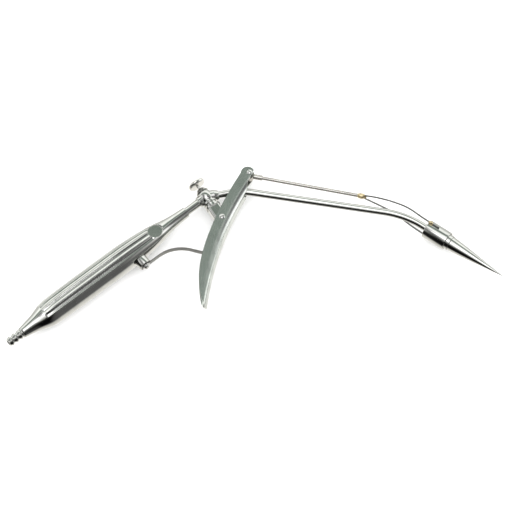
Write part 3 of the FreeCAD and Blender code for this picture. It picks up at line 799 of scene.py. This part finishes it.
def makeCoil():
    steps = valve["coilSteps"]
    turns = (valve["coilEnd"] - valve["coilStart"]) / valve["coilPitch"]
    place = bench(valveCentre, pressWay)
    line = []
    for step in range(round(turns * steps) + 1):
        turn = 2 * math.pi * step / steps
        line.append(place @ Vector((valve["coilStart"] + valve["coilPitch"] * step / steps,
                                    valve["coilRadius"] * math.cos(turn),
                                    valve["coilRadius"] * math.sin(turn))))
    coil = sweep("valve_spring_coil", line, circle(valve["coilWire"], 12))
    fit(coil, "valve_spring")
    ahead(valveCentre, pressWay, valve["coilEnd"] + 0.27)
    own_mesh(coil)


fit(makeValveBody(), "valve_body")
fit(makeGland(), "valve_gland")
fit(makeButton(), "valve_button")
fit(lathe("shaft_ferrule_turned", [(valve["frontReach"], valve["ferruleBore"]),
                                   (valve["frontReach"], valve["frontRadius"]),
                                   (valve["ferruleEnd"], valve["ferruleTip"]),
                                   (valve["ferruleEnd"], valve["ferruleBore"])],
          valveCentre, neckWay, ease=0.25), "shaft_ferrule")
makeCoil()
print("valve made")


shaft = {"radius": 2.55, "start": 4.6, "end": 24.0}
drum = {
    "sleeveStart": 18.5,
    "sleeveEnd": 35.9,
    "sleeveRadius": 6.7,
    "sleeveBore": 5.8,
    "start": 20.5,
    "end": 38.7,
    "radius": 5.5,
    "bore": 4.6,
    "coneSpigotStart": 33.5,
    "coneSpigot": 4.55,
    "coneBase": 38.85,
    "coneBaseRadius": 5.15,
    "coneFlank": [(52.0, 3.85), (66.0, 2.2)],
    "coneTip": 83.2,
    "coneTipRadius": 0.2,
}


def makeShaft():
    # a solid bar: the bore can't be seen, and is left out
    line = bent([ahead(valveCentre, neckWay, shaft["start"]), neckCorner, tipCorner,
                 ahead(tipCorner, drumWay, shaft["end"])], [layout["neckBend"], layout["tipBend"]])
    return sweep("shaft_tube_bent", spreadOut(line, 3.0), circle(shaft["radius"], 48))


def makeCone():
    flank = splineThrough([(drum["coneBase"], drum["coneBaseRadius"]), *drum["coneFlank"],
                           (drum["coneTip"], drum["coneTipRadius"])], 60)
    outline = [(drum["coneSpigotStart"], 0), (drum["coneSpigotStart"], drum["coneSpigot"]),
               (drum["coneBase"], drum["coneSpigot"]), *[tuple(point) for point in flank],
               (drum["coneTip"], 0)]
    return lathe("loading_cone_turned", outline, tipCorner, drumWay, ease=0.12)


fit(makeShaft(), "shaft_tube")
fit(lathe("pusher_sleeve_turned",
          pipeOutline(drum["sleeveRadius"], drum["sleeveBore"], drum["sleeveStart"], drum["sleeveEnd"]),
          tipCorner, drumWay, ease=0.3), "pusher_sleeve")
fit(lathe("drum_barrel_turned", pipeOutline(drum["radius"], drum["bore"], drum["start"], drum["end"]),
          tipCorner, drumWay, ease=0.25), "drum_barrel")
fit(makeCone(), "loading_cone")
print("shaft and drum made")


fork = {
    "rodRadius": 1.3,
    "rodStart": 5.0,
    "rodEnd": 79.5,
    "wireRadius": 0.6,
    "rootStart": 81.0,
    "rootSide": 0.4,
    "rootHeight": 0.7,
    "nearBends": [(119.0, -0.9, 2.4), (130.0, -4.9, 4.3), (141.8, -10.6, 5.9)],
    "farBends": [(121.0, -4.2, 2.8), (132.0, -9.0, 4.9), (142.6, -17.6, 6.5)],
    "landStart": 14.0,
    "end": 27.0,
    "nearSide": 2.3,
    "farSide": -1.8,
    "brazeGap": 0.06,
}


def wireLine(face, side, bends):
    away = drum["sleeveRadius"] + fork["brazeGap"] + fork["wireRadius"]
    spread = math.sqrt(away ** 2 - side ** 2)
    corners = [ahead(rodPin, rodWay, fork["rootStart"], fork["rootSide"] * face, fork["rootHeight"] * face)]
    corners += [valveCentre + Vector((x, y, z * face)) * mm for x, y, z in bends]
    corners += [ahead(tipCorner, drumWay, station, side, spread * face)
                for station in (fork["landStart"], fork["end"])]
    radii = []
    for before, corner, after in zip(corners, corners[1:], corners[2:]):
        half = (math.pi - (before - corner).angle(after - corner)) / 2
        radii.append(0.45 * min((before - corner).length, (after - corner).length) / math.tan(half) / mm)
    return spreadOut(bent(corners, radii), 2.0)


def makeRod():
    outline = [(fork["rodStart"], 0), (fork["rodStart"], fork["rodRadius"]),
               (fork["rodEnd"], fork["rodRadius"]), (fork["rodEnd"], 0)]
    return lathe("push_rod_drawn", outline, rodPin, rodWay, steps=48)


for name, face, side, bends in (("near", 1, fork["nearSide"], fork["nearBends"]),
                                ("far", -1, fork["farSide"], fork["farBends"])):
    fit(sweep("fork_wire_" + name + "_drawn", wireLine(face, side, bends), circle(fork["wireRadius"], 20)),
        "fork_wire_" + name)
fit(makeRod(), "push_rod")
print("push rod made")


lever = {
    "halfWidth": 6.0,
    "wall": 1.2,
    "webRadius": 232.0,
    "webTop": (17.4, 18.1),
    "webFoot": (-10.1, -66.7),
    "lead": 3.0,
    "trail": 9.0,
    "bladeEdge": [(-10.6, -68.0), (-13.2, -65.6), (-15.1, -59.3), (-16.0, -50.9), (-15.8, -40.5),
                  (-10.1, -15.4), (-0.8, 8.2), (8.7, 26.9), (13.0, 34.6)],
    "crown": [(13.0, 34.6), (16.9, 39.2), (22.2, 36.7)],
    "earFront": [(21.1, 33.2), (19.3, 30.8), (17.4, 25.7), (17.4, 18.1)],
    "fingerSide": [(24.0, 18.1), (8.0, -70.0), (-9.6, -68.6)],
    "gateFoot": 16.8,
    "gateWall": 1.5,             # left beside the gate, in wall thicknesses
    "depth": 5,                  # of the uncut channel, in half widths
    "edge": 0.22,
    "rings": 91,
    "pivotRadius": 1.5,
    "pinRadius": 1.4,
    "pivotSlot": 20,
    "rodSlot": -50,
    "headRise": 0.8,
    "headOverhang": 0.6,
}


def arcThrough(one, two, three, count):
    # points on the circle through three others
    a, b, c = [Vector(point) for point in (one, two, three)]
    d = 2 * (a.x * (b.y - c.y) + b.x * (c.y - a.y) + c.x * (a.y - b.y))
    centre = Vector(((a.length_squared * (b.y - c.y) + b.length_squared * (c.y - a.y)
                      + c.length_squared * (a.y - b.y)) / d,
                     (a.length_squared * (c.x - b.x) + b.length_squared * (a.x - c.x)
                      + c.length_squared * (b.x - a.x)) / d))
    start = math.atan2(a.y - centre.y, a.x - centre.x)
    end = math.atan2(c.y - centre.y, c.x - centre.x)
    radius = (a - centre).length
    turns = [start + (end - start) * step / count for step in range(count + 1)]
    return [(centre.x + radius * math.cos(turn), centre.y + radius * math.sin(turn)) for turn in turns]


def channelSolid(name, halfWidth):
    # the round-backed channel as a solid, swept about the centre of its finger side
    foot, top = Vector(lever["webFoot"]), Vector(lever["webTop"])
    chord = top - foot
    sag = math.sqrt(lever["webRadius"] ** 2 - (chord.length / 2) ** 2)
    centre = (foot + top) / 2 + Vector((chord.y, -chord.x)).normalized() * sag
    outward = foot - centre
    begin = math.degrees(math.atan2(outward.y, outward.x)) + lever["lead"]
    turn = math.degrees(2 * math.asin(chord.length / 2 / lever["webRadius"]))
    turn += lever["lead"] + lever["trail"]
    axle = lever["webRadius"] + lever["halfWidth"]
    deep = lever["webRadius"] + lever["depth"] * lever["halfWidth"]
    section = [(deep, -halfWidth), (deep, halfWidth)]
    section += [(axle - halfWidth * math.sin(math.radians(step)), halfWidth * math.cos(math.radians(step)))
                for step in range(0, 181, 5)]
    points, count, rings = [], len(section), lever["rings"]
    for ring in range(rings):
        way = heading(begin - turn * ring / (rings - 1))
        for reach, high in section:
            points.append(pivot + (Vector((centre.x, centre.y, 0)) + way * reach + up * high) * mm)
    return newObject(name, points, ringFaces(rings, count) + endCaps(rings, count))


def makeLever():
    outline = [tuple(point) for point in splineThrough(lever["bladeEdge"], 60)]
    outline += arcThrough(*lever["crown"], 24)[1:]
    outline += [tuple(point) for point in splineThrough(lever["earFront"], 20)]
    outline += lever["fingerSide"]
    alongX = Vector((1, 0, 0))
    wide = 2 * lever["halfWidth"]
    piece = channelSolid("finger_lever_polished", lever["halfWidth"])
    carve(piece, prism("side", outline, -wide, wide, pivot, alongX), "INTERSECT")
    carve(piece, channelSolid("trough", lever["halfWidth"] - lever["wall"]))
    gate = lever["halfWidth"] - lever["gateWall"] * lever["wall"]
    left, foot = lever["webTop"][0] / 2, lever["gateFoot"]
    carve(piece, prism("gate", [(left, foot), (4 * wide, foot), (4 * wide, 4 * wide), (left, 4 * wide)],
                       -gate, gate, pivot, alongX))
    for centre, radius in ((pivot, lever["pivotRadius"]), (rodPin, lever["pinRadius"])):
        carve(piece, prism("hole", circle(radius, 48), -wide, wide, centre, alongX))
    work = bmesh.new()
    work.from_mesh(piece.data)
    bmesh.ops.remove_doubles(work, verts=work.verts, dist=0.01 * mm)
    bmesh.ops.dissolve_limit(work, angle_limit=math.radians(0.4), verts=work.verts, edges=work.edges)
    work.to_mesh(piece.data)
    work.free()
    return breakEdges(piece, lever["edge"], 40, 3)


def makePins():
    for name, radius, centre, turn in (
            ("pivot_screw", lever["pivotRadius"], pivot, lever["pivotSlot"]),
            ("rod_screw", lever["pinRadius"], rodPin, lever["rodSlot"])):
        screw = makeScrew(name + "_slotted", radius + lever["headOverhang"], lever["headRise"], radius,
                          2 * lever["halfWidth"], centre + up * lever["halfWidth"] * mm, up, turn)
        fit(screw, name)


fit(makeLever(), "finger_lever")
makePins()
for name in ("pivot_lug", "rod_eye"):
    breakEdges(nodes[name], 0.12, 40)
print("lever made")


studio = {
    "floorSize": 14.0,
    "viewWidth": 0.3584,         # width of the view at the instrument
    "viewTilt": 26.0,            # from straight down
    "viewReach": 3.2,
    "viewAim": (0.0003, 0.001, 0.0098),
    "sensor": 36.0,
    "white": 1.9,                # what matt surfaces see
    "bandStrength": 1.9,
    # degrees from the horizon behind, over the top, to the horizon in front and back underneath,
    # and the light there
    "bands": [(0, 0.42, 0.43, 0.41), (12, 0.55, 0.56, 0.54), (24, 0.80, 0.81, 0.78), (47, 0.80, 0.82, 0.79),
              (51, 0.15, 0.175, 0.155), (67, 0.14, 0.165, 0.145), (73, 0.60, 0.63, 0.60),
              (80, 0.95, 0.95, 0.95),
              (116, 0.90, 0.90, 0.90), (128, 0.45, 0.46, 0.44), (140, 0.14, 0.14, 0.13),
              (152, 0.012, 0.012, 0.012), (198, 0.02, 0.02, 0.02), (212, 0.12, 0.12, 0.115),
              (228, 0.42, 0.41, 0.38), (270, 0.60, 0.59, 0.56), (330, 0.42, 0.42, 0.40),
              (360, 0.42, 0.43, 0.41)],
    # the overhead light is narrow, and this is where the light fills the whole width instead
    "fullWidth": [(0, 1.0), (70, 1.0), (75, 0.2), (80, 0.0), (195, 0.0), (215, 1.0), (360, 1.0)],
    # from far left to far right, the share of the overhead light
    "sides": [(-1.0, 0.8), (-0.8, 0.5), (-0.6, 0.10), (-0.42, 0.4), (-0.25, 1.0), (0.08, 1.0), (0.15, 0.28),
              (0.3, 0.14), (0.5, 0.06), (0.75, 0.08), (0.88, 0.8), (1.0, 1.0)],
    # what the room adds on the right
    "rightGlow": [(0.45, 0.0), (0.62, 0.045), (0.85, 0.08), (1.0, 0.12)],
}


def makeFloor():
    half = studio["floorSize"] / 2
    mesh = bpy.data.meshes.new("floor")
    corners = [(-half, -half, 0), (half, -half, 0), (half, half, 0), (-half, half, 0)]
    mesh.from_pydata(corners, [], [(0, 1, 2, 3)])
    floor = bpy.data.objects.new("floor", mesh)
    bpy.context.scene.collection.objects.link(floor)
    finish = Finish("floor_paper")
    tooth = finish.noise(finish.place(), 0.6, 4)
    mesh.materials.append(finish.done(Base_Color=finish.tint(tooth, (0.90, 0.90, 0.90), (0.93, 0.93, 0.93)),
                                      Roughness=0.85, Normal=finish.relief(tooth, 0.1, 0.05)))
    floor.visible_glossy = False     # the metal reflects the studio instead


def makeCamera():
    camera = bpy.data.objects.new("camera", bpy.data.cameras.new("camera"))
    bpy.context.scene.collection.objects.link(camera)
    tilt = math.radians(studio["viewTilt"])
    back = Vector((0, -math.sin(tilt), math.cos(tilt)))
    camera.location = Vector(studio["viewAim"]) + back * studio["viewReach"]
    camera.rotation_mode = "QUATERNION"
    camera.rotation_quaternion = (-back).to_track_quat("-Z", "Y")
    camera.data.sensor_width = studio["sensor"]
    camera.data.lens = studio["sensor"] * studio["viewReach"] / studio["viewWidth"]
    camera.data.clip_start, camera.data.clip_end = 0.05, 60
    bpy.context.scene.camera = camera


def makeSoftbox(name, azimuth, elevation, reach, size, power):
    lamp = bpy.data.lights.new(name, "AREA")
    lamp.shape = "RECTANGLE"
    lamp.size, lamp.size_y = size
    lamp.energy = power
    box = bpy.data.objects.new(name, lamp)
    turn, lift = math.radians(azimuth), math.radians(elevation)
    away = Vector((math.sin(turn) * math.cos(lift), math.cos(turn) * math.cos(lift), math.sin(lift)))
    box.location = away * reach
    box.rotation_mode = "QUATERNION"
    box.rotation_quaternion = away.to_track_quat("Z", "Y")
    box.visible_camera = False
    bpy.context.scene.collection.objects.link(box)


def makeSky():
    # polished metal sees the dark and bright bands of the studio, matt surfaces see an even white
    world = bpy.data.worlds.new("room")
    bpy.context.scene.world = world
    world.use_nodes = True
    world.cycles.sampling_method = "NONE"
    sky = Graph(world.node_tree)
    where = sky.node("ShaderNodeTexCoord", output="Generated")
    x, y, z = [sky.node("ShaderNodeSeparateXYZ", None, {0: where}, output=axis) for axis in range(3)]
    angle = sky.node("ShaderNodeMath", {"operation": "ARCTAN2"}, {0: z, 1: y})
    turn = sky.node("ShaderNodeMath", {"operation": "FRACT"}, {0: angle * (0.5 / math.pi)})
    across = x * 0.5 + 0.5
    bands = sky.ramp(turn, *[(degrees / 360, *shade) for degrees, *shade in studio["bands"]])
    whole = sky.ramp(turn, *[(degrees / 360, share) for degrees, share in studio["fullWidth"]])
    sides, glow = [sky.ramp(across, *[((reach + 1) / 2, share) for reach, share in studio[name]])
                   for name in ("sides", "rightGlow")]
    share = sky.node("ShaderNodeMath", {"operation": "MAXIMUM"}, {0: sides, 1: whole})
    overhead = sky.mix("MULTIPLY", 1.0, bands, share)
    total = sky.mix("ADD", 1.0, overhead, glow)
    seen = sky.node("ShaderNodeBackground", None, {"Color": total, "Strength": studio["bandStrength"]})
    plain = sky.tree.nodes["Background"]
    plain.inputs["Color"].default_value = (1.0, 1.0, 1.0, 1)
    plain.inputs["Strength"].default_value = studio["white"]
    glossy = sky.node("ShaderNodeLightPath", output="Is Glossy Ray")
    mixed = sky.node("ShaderNodeMixShader", None, {0: glossy, 1: Value(sky, plain.outputs[0]), 2: seen})
    sky.feed(sky.tree.nodes["World Output"].inputs["Surface"], mixed)


makeFloor()
makeCamera()
makeSky()
makeSoftbox("overhead", 180, 80, 1.8, (1.6, 0.25), 2.0)
bpy.context.scene.view_settings.view_transform = "Standard"
print("studio set")
